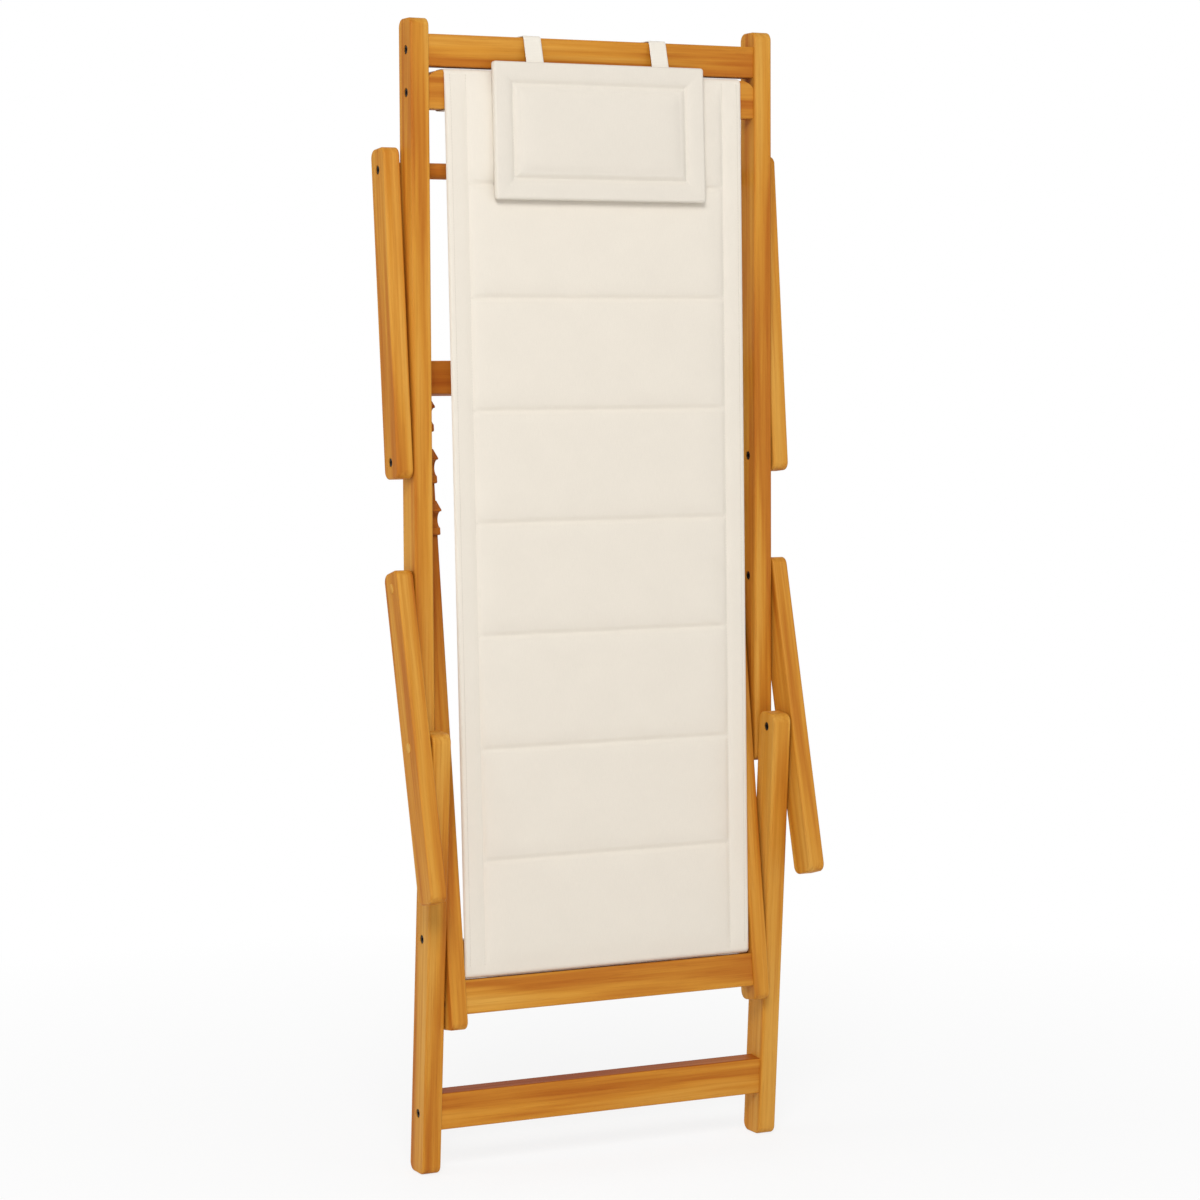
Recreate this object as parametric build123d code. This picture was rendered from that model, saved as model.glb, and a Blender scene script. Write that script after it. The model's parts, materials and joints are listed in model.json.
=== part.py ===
from build123d import *
import os
from math import acos, atan2, cos, degrees, hypot, radians, sin, sqrt

# Folding deck chair, modelled folded and standing upright on its front legs.
# X runs across the chair, +Y is its back, +Z is up, and sizes are millimetres.
# The origin is on the ground, in the middle of the folded chair's footprint.

# Width: three layers of boards a side, each 2 mm from the next.
FRAME_HALF = 275.0  # outer face of the back rails and the legs
RAIL_THICK = 27.0  # back rails and legs
OUTER_THICK = 24.0  # arms and prop legs, outside the back rails
INNER_THICK = 24.0  # seat rails, inside the back rails
LAYER_GAP = 2.0
MIDDLE_IN = FRAME_HALF - RAIL_THICK
OUTER_IN = FRAME_HALF + LAYER_GAP
OUTER_OUT = OUTER_IN + OUTER_THICK
INNER_OUT = MIDDLE_IN - LAYER_GAP
INNER_IN = INNER_OUT - INNER_THICK

# Board depths, front to back, and how their ends and edges are rounded.
BACK_DEPTH = 43.0
SEAT_DEPTH = 44.0
LEG_DEPTH = 46.0
ARM_DEPTH = 48.0
PROP_DEPTH = 46.0
END_ROUND = 12.0
EDGE_ROUND = 3.0

# Back frame, upright when folded. Heights are above the seat pivot.
BACK_Y = 13.7
SEAT_PIVOT_Z = 562.5
BACK_BELOW = 23.0
BACK_ABOVE = 1007.0
ARM_PIVOT_UP = 241.0
PROP_PIVOT_UP = 412.0
HEAD_BAR_UP = 964.5
SLING_BAR_UP = 907.5

# Seat frame, leaning back when folded. Distances run along its rails from the seat pivot.
SEAT_TILT = 7.8
SEAT_FRONT = 20.0  # front edge of its rails, in front of their pivots
SEAT_FRONT_END = -363.5
SEAT_REAR_END = 566.0
LEG_PIVOT_S = -237.2
FRONT_BAR_S = -320.0
HEM_BAR_S = -267.5
REAR_BAR_S = 529.0

# Arms and legs close a four-bar linkage with the seat and back frames.
ARM_TO_LEG = 217.7
ARM_TOP = 23.0
ARM_FRONT_END = -429.0
LEG_LINK = 265.9
LEG_TOP = 19.5

# Prop, leaning back when folded.
PROP_TILT = 5.2
PROP_BELOW = 22.5
PROP_BAR_S = 395.5
PROP_ABOVE = 29.5
PROP_BAR_RADIUS = 11.0

# Notched rack on the front edge of each seat rail.
NOTCHES = (331.0, 402.0, 473.0)
NOTCH_RADIUS = 11.5
NOTCH_FLOOR = 0.6
HOOK_HEIGHT = 16.0
HOOK_TIP = 2.0
HOOK_SLOPE = 14.0
BUMP_HEIGHT = 8.0
BUMP_END = -20.0

# Crossbars.
BAR_HEIGHT = 43.0
SEAT_BAR_HEIGHT = 46.0
HEM_BAR_HEIGHT = 47.0
FOOT_BAR_HEIGHT = 51.5
FOOT_BAR_Z = 88.0
BAR_DEPTH = 28.0
HEM_BAR_DEPTH = 26.0
BAR_SETBACK = 4.0
HEM_BAR_SETBACK = 10.0
BAR_EDGE = 2.5
CROWN_RISE = 8.5
CROWN_RUN = 24.0
TENON_LENGTH = 8.0
TENON_DEPTH = 9.0
TENON_HEIGHT = 30.0

# Fasteners.
FIT = 0.05
HEAD_RADIUS = 6.0
HEAD_THICK = 4.0
HEAD_SUNK = 0.8
SHANK_RADIUS = 3.0
BARREL_RADIUS = 4.5
SOCKET_RADIUS = 2.9
SOCKET_DEPTH = 2.2
BAR_BOLT_REACH = 40.0
WASHER_RADIUS = 12.5
WASHER_THICK = 1.8
PLUG_RADIUS = 7.0
PLUG_THICK = 6.0
PLUG_DOME = 0.6
FREE_POCKET_RADIUS = 11.5
FREE_POCKET_DEPTH = 15.0

# Sling, pillow and its straps.
SLING_HALF = 220.0  # at the hem
SLING_TOP_HALF = 225.0
SLING_THICK = 8.0
SLING_TOP_Y = -24.5
SLING_LOW_Y = -53.0
SLING_LOW_Z = 336.0
HEM_FRONT = 6.0
SLEEVE_THICK = 2.5
SLEEVE_EASE = 0.5
PILLOW_HALF = 160.0
PILLOW_LOW_Z = 1328.0
PILLOW_HIGH_Z = 1514.0
PILLOW_THICK = 18.0
STRAP_X = 95.5
STRAP_WIDTH = 26.0
STRAP_THICK = 1.6


def tilted(pivot, tilt):
    """Place of a frame whose boards lean back by tilt degrees about its pivot."""
    return Pos(0, pivot[0], pivot[1]) * Rot(-tilt, 0, 0)


def spot(pivot, tilt, along, forward=0.0):
    """(y, z) of a point along a leaning board, and so far in front of its centre line."""
    lean = radians(tilt)
    y = pivot[0] + along * sin(lean) - forward * cos(lean)
    z = pivot[1] + along * cos(lean) + forward * sin(lean)
    return y, z


def leg_joint(arm_pivot, leg_pivot):
    """(y, z) where the arm meets the leg: the forward crossing of the two link circles."""
    span_y = leg_pivot[0] - arm_pivot[0]
    span_z = leg_pivot[1] - arm_pivot[1]
    span = hypot(span_y, span_z)
    along = (ARM_TO_LEG**2 - LEG_LINK**2 + span**2) / (2 * span)
    aside = sqrt(ARM_TO_LEG**2 - along**2)
    y = arm_pivot[0] + (along * span_y + aside * span_z) / span
    z = arm_pivot[1] + (along * span_z - aside * span_y) / span
    return y, z


SEAT_PIVOT = (BACK_Y, SEAT_PIVOT_Z)
ARM_PIVOT = (BACK_Y, SEAT_PIVOT_Z + ARM_PIVOT_UP)
PROP_PIVOT = (BACK_Y, SEAT_PIVOT_Z + PROP_PIVOT_UP)
LEG_PIVOT = spot(SEAT_PIVOT, SEAT_TILT, LEG_PIVOT_S)
LEG_JOINT = leg_joint(ARM_PIVOT, LEG_PIVOT)
ARM_TILT = degrees(atan2(ARM_PIVOT[0] - LEG_JOINT[0], ARM_PIVOT[1] - LEG_JOINT[1]))
LEG_TILT = degrees(atan2(LEG_JOINT[0] - LEG_PIVOT[0], LEG_JOINT[1] - LEG_PIVOT[1]))
PROP_BAR = spot(PROP_PIVOT, PROP_TILT, PROP_BAR_S)


def rod(radius, x0, x1, y, z):
    """Round rod along X."""
    return Pos((x0 + x1) / 2, y, z) * Rot(0, 90, 0) * Cylinder(radius, abs(x1 - x0))


def side_board(outline, x0, x1, edge_round=EDGE_ROUND):
    """Board cut to a side outline of (y, z) corners, with every long edge rounded over."""
    face = make_face(Polyline(*[(0, y, z) for y, z in outline], close=True))
    board = Pos(x0, 0, 0) * extrude(face, amount=x1 - x0, dir=(1, 0, 0))
    corners = board.edges().filter_by(Axis.X)
    board = fillet(corners, END_ROUND)
    rims = board.faces().filter_by(Axis.X).edges()
    return fillet(rims, edge_round)


def straight_board(depth, low, high, x0, x1):
    """Board along its own Z, centred front to back."""
    half = depth / 2
    return side_board([(-half, low), (half, low), (half, high), (-half, high)], x0, x1)


def bar_blank(half_length, front, depth, height, y, z):
    """Crossbar between two rails, its long edges rounded, with a stub tenon at each end."""
    body = Box(2 * half_length, depth, height)
    body = fillet(body.edges().filter_by(Axis.X), BAR_EDGE)
    tenons = Box(2 * (half_length + TENON_LENGTH), TENON_DEPTH, TENON_HEIGHT)
    return Pos(0, y + front + depth / 2, z) * (body + tenons)


def mortises(half_length, front, depth, y, z):
    """What a crossbar's tenons take out of the rails."""
    slot = Box(
        2 * (half_length + TENON_LENGTH + FIT),
        TENON_DEPTH + 2 * FIT,
        TENON_HEIGHT + 2 * FIT,
    )
    return Pos(0, y + front + depth / 2, z) * slot


def both(*solids):
    """Left solids and their mirror images on the right, as one group."""
    mirrored = [mirror(solid, about=Plane.YZ) for solid in solids]
    return Compound(children=[*solids, *mirrored])


def hex_socket(x_mouth, inward, y, z):
    """Hexagonal recess, from its mouth inward along X."""
    key = extrude(RegularPolygon(SOCKET_RADIUS, 6), amount=SOCKET_DEPTH)
    return Pos(x_mouth, y, z) * Rot(0, 90 * inward, 0) * key


def bolt(x_face, x_tip, y, z):
    """Left-hand flat-headed bolt whose head sits just below the face at x_face."""
    x_head = x_face + HEAD_SUNK
    head = rod(HEAD_RADIUS, x_head, x_head + HEAD_THICK, y, z)
    head = chamfer(head.edges().group_by(Axis.X)[0], 0.6)
    shank = rod(SHANK_RADIUS, x_head, x_tip, y, z)
    return head + shank - hex_socket(x_head, 1, y, z)


def sleeve_nut(x_face, x_end, y, z):
    """Left-hand sleeve nut, its head just below the inner face at x_face."""
    x_head = x_face - HEAD_SUNK
    head = rod(HEAD_RADIUS, x_head - HEAD_THICK, x_head, y, z)
    head = chamfer(head.edges().group_by(Axis.X)[-1], 0.6)
    barrel = rod(BARREL_RADIUS, x_end, x_head, y, z)
    bore = rod(SHANK_RADIUS + FIT, x_end, x_head, y, z)
    return head + barrel - bore


def counterbore(x_face, inward, y, z):
    """Seat for a bolt or nut head, from a face inward along X."""
    depth = HEAD_SUNK + HEAD_THICK + FIT
    return rod(HEAD_RADIUS + 0.3, x_face, x_face + inward * depth, y, z)


def washer(x0, x1, y, z, hole):
    """Washer centred in the gap between two layers."""
    middle = (x0 + x1) / 2
    low, high = middle - WASHER_THICK / 2, middle + WASHER_THICK / 2
    return rod(WASHER_RADIUS, low, high, y, z) - rod(hole, low, high, y, z)


def pivot(x_head_face, x_nut_face, y, z):
    """Bolt and sleeve nut that clamp two layers on the left, and the hole they run in."""
    x_end = x_head_face + HEAD_SUNK + HEAD_THICK + 3.0
    x_tip = x_nut_face - HEAD_SUNK - HEAD_THICK - 2.0
    screw = bolt(x_head_face, x_tip, y, z)
    nut = sleeve_nut(x_nut_face, x_end, y, z)
    return screw, nut


def pivot_hole(x0, x1, y, z):
    """Running hole for a sleeve nut's barrel."""
    return rod(BARREL_RADIUS + FIT, x0, x1, y, z)


def crown(front, z):
    """Raised middle of the sling bar's top edge at height z, with a shoulder near each rail."""
    foot = MIDDLE_IN - 0.5
    top = foot - CROWN_RUN
    high = z + CROWN_RISE
    sides = Polyline((foot, z), (foot, z - 5.0), (-foot, z - 5.0), (-foot, z))
    left = ThreePointArc((-foot, z), (-foot + 7.0, z + 6.0), (-top, high))
    right = ThreePointArc((top, high), (foot - 7.0, z + 6.0), (foot, z))
    face = Plane.XZ * make_face(sides + left + Line((-top, high), (top, high)) + right)
    return Pos(0, front + BAR_DEPTH, 0) * extrude(face, amount=BAR_DEPTH)


def bar_bolt(x_face, x_bar, y, z):
    """Bolt through a left rail into a crossbar's end, and the holes it needs."""
    x_tip = x_bar + BAR_BOLT_REACH
    screw = bolt(x_face, x_tip, y, z)
    hole = rod(SHANK_RADIUS + FIT, x_face, x_tip + 2.0, y, z)
    return screw, hole + counterbore(x_face, 1, y, z)


def plug(y, z):
    """Slightly domed wooden plug that hides a bolt head in the left arm."""
    body = rod(PLUG_RADIUS, -OUTER_OUT - PLUG_DOME, -OUTER_OUT + PLUG_THICK, y, z)
    return fillet(body.edges().group_by(Axis.X)[0], PLUG_DOME)


def plug_seat(y, z):
    """Blind hole for a plug."""
    return rod(PLUG_RADIUS + FIT, -OUTER_OUT - 1.0, -OUTER_OUT + PLUG_THICK + FIT, y, z)


nodes = {}


def add_pair(name, left):
    """Stores a left board and its mirror image as two nodes."""
    nodes[name + "_left"] = left
    nodes[name + "_right"] = mirror(left, about=Plane.YZ)


def back_frame():
    """Two long rails, the head bar and the crowned bar that carries the sling."""
    front = -BACK_DEPTH / 2 + BAR_SETBACK
    low = SEAT_PIVOT_Z - BACK_BELOW
    high = SEAT_PIVOT_Z + BACK_ABOVE
    rail = straight_board(BACK_DEPTH, low, high, -FRAME_HALF, -MIDDLE_IN)
    rail = Pos(0, BACK_Y, 0) * rail
    screws = []
    for name, up in (("head_bar", HEAD_BAR_UP), ("sling_bar", SLING_BAR_UP)):
        z = SEAT_PIVOT_Z + up
        bar = bar_blank(MIDDLE_IN, front, BAR_DEPTH, BAR_HEIGHT, BACK_Y, z)
        if name == "sling_bar":
            bar += crown(BACK_Y + front, z + BAR_HEIGHT / 2)
        y = BACK_Y + front + BAR_DEPTH / 2
        screw, hole = bar_bolt(-FRAME_HALF, -MIDDLE_IN, y, z)
        rail -= mortises(MIDDLE_IN, front, BAR_DEPTH, BACK_Y, z) + hole
        nodes[name] = bar - hole - mirror(hole, about=Plane.YZ)
        screws.append(screw)
    nodes["back_frame_bolts"] = both(*screws)

    y, z = SEAT_PIVOT
    rail -= pivot_hole(-FRAME_HALF, -MIDDLE_IN, y, z) + counterbore(-FRAME_HALF, 1, y, z)
    screw, nut = pivot(-FRAME_HALF, -INNER_IN, y, z)
    nodes["seat_pivot_bolts"] = both(screw)
    nodes["seat_pivot_nuts"] = both(nut)
    ring = washer(-MIDDLE_IN, -INNER_OUT, y, z, BARREL_RADIUS + FIT)
    nodes["seat_pivot_washers"] = both(ring)

    for name, (y, z), x_face in (
        ("arm_pivot", ARM_PIVOT, -OUTER_OUT + PLUG_THICK),
        ("prop_pivot", PROP_PIVOT, -OUTER_OUT),
    ):
        rail -= pivot_hole(-FRAME_HALF, -MIDDLE_IN, y, z)
        rail -= counterbore(-MIDDLE_IN, -1, y, z)
        screw, nut = pivot(x_face, -MIDDLE_IN, y, z)
        nodes[name + "_bolts"] = both(screw)
        nodes[name + "_nuts"] = both(nut)
        ring = washer(-OUTER_IN, -FRAME_HALF, y, z, BARREL_RADIUS + FIT)
        nodes[name + "_washers"] = both(ring)
    add_pair("back_rail", rail)


def notch(centre):
    """Side profile of one rack notch: pointed hook, round seat and low bump."""
    edge = SEAT_FRONT
    base = edge - 6.0
    seat = edge + NOTCH_FLOOR + NOTCH_RADIUS
    tip = edge + HOOK_HEIGHT
    wall = centre + NOTCH_RADIUS
    bump = edge + BUMP_HEIGHT
    aside = sqrt(NOTCH_RADIUS**2 - (seat - bump) ** 2)
    hook = Polyline(
        (-base, wall + HOOK_TIP + HOOK_SLOPE),
        (-edge, wall + HOOK_TIP + HOOK_SLOPE),
        (-tip, wall + HOOK_TIP),
        (-tip, wall),
        (-seat, wall),
    )
    low = (-edge - NOTCH_FLOOR, centre)
    bowl = ThreePointArc((-seat, wall), low, (-bump, centre - aside))
    rest = Polyline(
        (-bump, centre - aside),
        (-bump, centre + BUMP_END + 1.5),
        (-bump + 1.5, centre + BUMP_END),
        (-base, centre + BUMP_END),
        (-base, wall + HOOK_TIP + HOOK_SLOPE),
    )
    face = Plane.YZ * make_face(hook + bowl + rest)
    block = Pos(-INNER_OUT, 0, 0) * extrude(face, amount=INNER_THICK)
    return block


def seat_frame():
    """Two notched rails, the front and rear bars, and the bar that carries the sling's hem."""
    place = tilted(SEAT_PIVOT, SEAT_TILT)
    rail = straight_board(SEAT_DEPTH, SEAT_FRONT_END, SEAT_REAR_END, -INNER_OUT, -INNER_IN)
    rail = Pos(0, SEAT_DEPTH / 2 - SEAT_FRONT, 0) * rail
    for centre in NOTCHES:
        rail += notch(centre)
    screws = []
    for name, along, height, depth, setback, bolt_down, bolt_back in (
        ("seat_front_bar", FRONT_BAR_S, SEAT_BAR_HEIGHT, BAR_DEPTH, BAR_SETBACK, 7.0, 9.0),
        ("seat_sling_bar", HEM_BAR_S, HEM_BAR_HEIGHT, HEM_BAR_DEPTH, HEM_BAR_SETBACK, 0.0, 0.0),
        ("seat_rear_bar", REAR_BAR_S, SEAT_BAR_HEIGHT, BAR_DEPTH, BAR_SETBACK, 0.0, 0.0),
    ):
        front = -SEAT_FRONT + setback
        bar = bar_blank(INNER_IN, front, depth, height, 0.0, along)
        y = front + depth / 2 + bolt_back
        screw, hole = bar_bolt(-INNER_OUT, -INNER_IN, y, along - bolt_down)
        rail -= mortises(INNER_IN, front, depth, 0.0, along) + hole
        nodes[name] = place * (bar - hole - mirror(hole, about=Plane.YZ))
        screws.append(place * screw)
    nodes["seat_frame_bolts"] = both(*screws)

    for along in (0.0, LEG_PIVOT_S):
        rail -= pivot_hole(-INNER_OUT, -INNER_IN, 0.0, along)
        rail -= counterbore(-INNER_IN, -1, 0.0, along)
    add_pair("seat_rail", place * rail)

    middle = -SEAT_FRONT + HEM_BAR_SETBACK + HEM_BAR_DEPTH / 2
    depth = HEM_BAR_DEPTH + 2 * SLEEVE_EASE
    height = HEM_BAR_HEIGHT + 2 * SLEEVE_EASE
    shift = (SLEEVE_THICK - HEM_FRONT) / 2
    outer = Box(2 * SLING_HALF, depth + HEM_FRONT + SLEEVE_THICK, height + 2 * SLEEVE_THICK)
    hem = Pos(0, shift, 0) * outer - Box(3 * SLING_HALF, depth, height)
    nodes["sling_hem"] = place * Pos(0, middle, HEM_BAR_S) * hem


def front_legs():
    """Two legs with level feet and a foot bar, pivoted on the seat frame."""
    half = LEG_DEPTH / 2 / cos(radians(LEG_TILT))
    foot_y = spot(LEG_PIVOT, LEG_TILT, -LEG_PIVOT[1] / cos(radians(LEG_TILT)))[0]
    top = spot(LEG_JOINT, LEG_TILT, LEG_TOP, LEG_DEPTH / 2)
    top_back = spot(LEG_JOINT, LEG_TILT, LEG_TOP, -LEG_DEPTH / 2)
    outline = [(foot_y - half, 0.0), (foot_y + half, 0.0), top_back, top]
    leg = side_board(outline, -FRAME_HALF, -MIDDLE_IN)

    along = (FOOT_BAR_Z - LEG_PIVOT[1]) / cos(radians(LEG_TILT))
    place = tilted(LEG_PIVOT, LEG_TILT)
    front = -LEG_DEPTH / 2 + BAR_SETBACK
    bar = bar_blank(MIDDLE_IN, front, BAR_DEPTH, FOOT_BAR_HEIGHT, 0.0, along)
    y = front + BAR_DEPTH / 2 + 4.0
    screw, hole = bar_bolt(-FRAME_HALF, -MIDDLE_IN, y, along - 4.0)
    leg -= place * (mortises(MIDDLE_IN, front, BAR_DEPTH, 0.0, along) + hole)
    nodes["foot_bar"] = place * (bar - hole - mirror(hole, about=Plane.YZ))
    nodes["foot_bar_bolts"] = both(place * screw)

    y, z = LEG_PIVOT
    leg -= pivot_hole(-FRAME_HALF, -MIDDLE_IN, y, z) + counterbore(-FRAME_HALF, 1, y, z)
    screw, nut = pivot(-FRAME_HALF, -INNER_IN, y, z)
    nodes["leg_pivot_bolts"] = both(screw)
    nodes["leg_pivot_nuts"] = both(nut)
    ring = washer(-MIDDLE_IN, -INNER_OUT, y, z, BARREL_RADIUS + FIT)
    nodes["leg_pivot_washers"] = both(ring)

    y, z = LEG_JOINT
    leg -= pivot_hole(-FRAME_HALF, -MIDDLE_IN, y, z) + counterbore(-MIDDLE_IN, -1, y, z)
    screw, nut = pivot(-OUTER_IN - FREE_POCKET_DEPTH + 3.0, -MIDDLE_IN, y, z)
    nodes["arm_joint_bolts"] = both(screw)
    nodes["arm_joint_nuts"] = both(nut)
    ring = washer(-OUTER_IN, -FRAME_HALF, y, z, BARREL_RADIUS + FIT)
    nodes["arm_joint_washers"] = both(ring)
    add_pair("front_leg", leg)


def arms():
    """Arms outside the rails: pivoted on the back rails, held up by the legs at mid length."""
    place = tilted(ARM_PIVOT, ARM_TILT)
    arm = place * straight_board(ARM_DEPTH, ARM_FRONT_END, ARM_TOP, -OUTER_OUT, -OUTER_IN)
    y, z = ARM_PIVOT
    arm -= plug_seat(y, z) + pivot_hole(-OUTER_OUT, -OUTER_IN, y, z)
    arm -= counterbore(-OUTER_OUT + PLUG_THICK, 1, y, z)
    plugs = [plug(y, z)]
    y, z = LEG_JOINT
    arm -= plug_seat(y, z)
    arm -= rod(FREE_POCKET_RADIUS, -OUTER_IN - FREE_POCKET_DEPTH, -OUTER_IN, y, z)
    plugs.append(plug(y, z))
    add_pair("arm", arm)
    add_pair("arm_plugs", Compound(children=plugs))


def prop():
    """Two prop legs outside the back rails, joined by a round bar behind them."""
    place = tilted(PROP_PIVOT, PROP_TILT)
    top = PROP_BAR_S + PROP_ABOVE
    leg = place * straight_board(PROP_DEPTH, -PROP_BELOW, top, -OUTER_OUT, -OUTER_IN)
    y, z = PROP_PIVOT
    leg -= pivot_hole(-OUTER_OUT, -OUTER_IN, y, z) + counterbore(-OUTER_OUT, 1, y, z)
    y, z = PROP_BAR
    reach = OUTER_IN + TENON_LENGTH
    leg -= rod(PROP_BAR_RADIUS + FIT, -reach - FIT, -OUTER_IN, y, z)
    screw, hole = bar_bolt(-OUTER_OUT, -OUTER_IN, y, z)
    leg -= hole
    bar = rod(PROP_BAR_RADIUS, -reach, reach, y, z)
    nodes["prop_bar"] = bar - hole - mirror(hole, about=Plane.YZ)
    nodes["prop_bar_bolts"] = both(screw)
    add_pair("prop_leg", leg)


def sling():
    """Sling: a sleeve round the crowned bar and a flat sheet down to the seat's sling bar."""
    bar_z = SEAT_PIVOT_Z + SLING_BAR_UP
    back = -BACK_DEPTH / 2 + BAR_SETBACK + BAR_DEPTH
    low = bar_z - BAR_HEIGHT / 2 - SLEEVE_EASE
    high = bar_z + BAR_HEIGHT / 2 + CROWN_RISE + SLEEVE_EASE
    inner_front = -BACK_DEPTH / 2 + BAR_SETBACK - SLEEVE_EASE
    outer = [
        (SLING_TOP_Y, high + SLEEVE_THICK),
        (back + SLEEVE_EASE + SLEEVE_THICK, high + SLEEVE_THICK),
        (back + SLEEVE_EASE + SLEEVE_THICK, low - SLEEVE_THICK),
        (SLING_TOP_Y + SLING_THICK, low - SLEEVE_THICK - 10.0),
        (SLING_LOW_Y + SLING_THICK, SLING_LOW_Z),
        (SLING_LOW_Y, SLING_LOW_Z),
    ]
    inner = [
        (inner_front, high),
        (back + SLEEVE_EASE, high),
        (back + SLEEVE_EASE, low),
        (inner_front, low),
    ]
    sheet = make_face(Polyline(*[(0, y, z) for y, z in outer], close=True))
    tunnel = make_face(Polyline(*[(0, y, z) for y, z in inner], close=True))
    width = 2 * SLING_TOP_HALF
    cut = extrude(tunnel, amount=width, dir=(1, 0, 0))
    top = high + SLEEVE_THICK
    corners = [(SLING_TOP_HALF, top), (SLING_HALF, SLING_LOW_Z)]
    corners += [(-SLING_HALF, SLING_LOW_Z), (-SLING_TOP_HALF, top)]
    taper = extrude(Plane.XZ * make_face(Polyline(*corners, close=True)), amount=200.0, both=True)
    cloth = Pos(-SLING_TOP_HALF, 0, 0) * (extrude(sheet, amount=width, dir=(1, 0, 0)) - cut)
    nodes["sling"] = Pos(0, BACK_Y, 0) * (cloth & taper)


def pillow():
    """Head pillow lying on the sling, hung from the head bar by two webbing loops."""
    bar_z = SEAT_PIVOT_Z + SLING_BAR_UP
    slope = (SLING_LOW_Y - SLING_TOP_Y) / (bar_z - SLING_LOW_Z)
    lean = degrees(atan2(-slope, 1.0))
    middle = (PILLOW_LOW_Z + PILLOW_HIGH_Z) / 2
    y = SLING_TOP_Y + slope * (bar_z - middle) - PILLOW_THICK / 2 - 2.0
    pad = Box(2 * PILLOW_HALF, PILLOW_THICK, PILLOW_HIGH_Z - PILLOW_LOW_Z)
    pad = fillet(pad.edges().filter_by(Axis.Y), 6.0)
    pad = fillet(pad.faces().filter_by(Axis.Y).edges(), 6.0)
    nodes["head_pillow"] = Pos(0, BACK_Y + y, middle) * Rot(-lean, 0, 0) * pad

    front = -BACK_DEPTH / 2 + BAR_SETBACK - 0.4
    back = front + BAR_DEPTH + 0.8
    bar_z = SEAT_PIVOT_Z + HEAD_BAR_UP
    low = bar_z - BAR_HEIGHT / 2 - 0.4
    high = bar_z + BAR_HEIGHT / 2 + 0.4
    tab_z = PILLOW_HIGH_Z + 0.6
    tab_y = y + 4.0
    t = STRAP_THICK
    outer = [
        (front - t, high + t),
        (back + t, high + t),
        (back + t, low - t),
        (front, low - t),
        (front - 4.0, tab_z),
        (tab_y - t, tab_z),
    ]
    inner = [(front, high), (back, high), (back, low), (front, low)]
    loop = make_face(Polyline(*[(0, y, z) for y, z in outer], close=True))
    hole = make_face(Polyline(*[(0, y, z) for y, z in inner], close=True))
    strap = extrude(loop, amount=STRAP_WIDTH, dir=(1, 0, 0))
    strap -= extrude(hole, amount=STRAP_WIDTH, dir=(1, 0, 0))
    add_pair("pillow_strap", Pos(-STRAP_X - STRAP_WIDTH / 2, BACK_Y, 0) * strap)


def main():
    os.makedirs("parts", exist_ok=True)
    back_frame()
    seat_frame()
    front_legs()
    arms()
    prop()
    sling()
    pillow()
    for name, shape in nodes.items():
        export_step(shape, os.path.join("parts", name + ".step"))


main()
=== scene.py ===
"""Looks of the folding deck chair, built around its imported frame."""

import json
import math

import bpy
from mathutils import Matrix, Vector, noise


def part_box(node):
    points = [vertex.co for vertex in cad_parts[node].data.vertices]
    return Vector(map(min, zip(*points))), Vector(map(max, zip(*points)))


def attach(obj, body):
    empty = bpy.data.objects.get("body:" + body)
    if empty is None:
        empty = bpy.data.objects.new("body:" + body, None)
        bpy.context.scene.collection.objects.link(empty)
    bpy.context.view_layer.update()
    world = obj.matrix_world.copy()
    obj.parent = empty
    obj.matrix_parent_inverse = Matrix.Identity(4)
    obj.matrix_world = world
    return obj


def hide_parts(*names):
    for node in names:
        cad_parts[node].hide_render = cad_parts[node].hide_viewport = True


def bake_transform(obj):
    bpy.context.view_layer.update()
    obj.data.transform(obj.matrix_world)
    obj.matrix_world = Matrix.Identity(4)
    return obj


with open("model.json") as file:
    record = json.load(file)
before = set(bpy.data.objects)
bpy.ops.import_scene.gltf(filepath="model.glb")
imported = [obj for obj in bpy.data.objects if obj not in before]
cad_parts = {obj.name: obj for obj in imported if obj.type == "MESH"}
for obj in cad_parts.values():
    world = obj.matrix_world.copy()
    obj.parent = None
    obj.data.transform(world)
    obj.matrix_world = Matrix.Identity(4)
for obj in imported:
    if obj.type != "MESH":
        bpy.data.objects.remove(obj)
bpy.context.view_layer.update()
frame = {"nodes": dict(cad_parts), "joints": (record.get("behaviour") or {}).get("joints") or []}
nodes = frame["nodes"]
joints = {joint["name"]: joint for joint in frame["joints"]}

# Lean of each frame's boards, in degrees: their tops lean back.
LEAN = {"back": 0.0, "seat": 7.8, "arm": 14.28, "leg": -4.64, "prop": 5.2}


# ---------------------------------------------------------------- node helpers


def add(tree, kind, **inputs):
    """A shader node with its inputs set or linked: i0 is its first input, i1 its second."""
    made = tree.nodes.new(kind)
    for key, value in inputs.items():
        if hasattr(made, key) and key not in made.inputs:
            setattr(made, key, value)
            continue
        numbered = key[0] == "i" and key[1:].isdigit()
        socket = made.inputs[int(key[1:])] if numbered else made.inputs[key]
        if isinstance(value, bpy.types.NodeSocket):
            tree.links.new(value, socket)
        else:
            socket.default_value = value
    return made


def math_node(tree, operation, first, second=0.0, third=0.0):
    """Output of one Math node."""
    made = tree.nodes.new("ShaderNodeMath")
    made.operation = operation
    for socket, value in zip(made.inputs, (first, second, third)):
        if isinstance(value, bpy.types.NodeSocket):
            tree.links.new(value, socket)
        else:
            socket.default_value = value
    return made.outputs[0]


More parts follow.
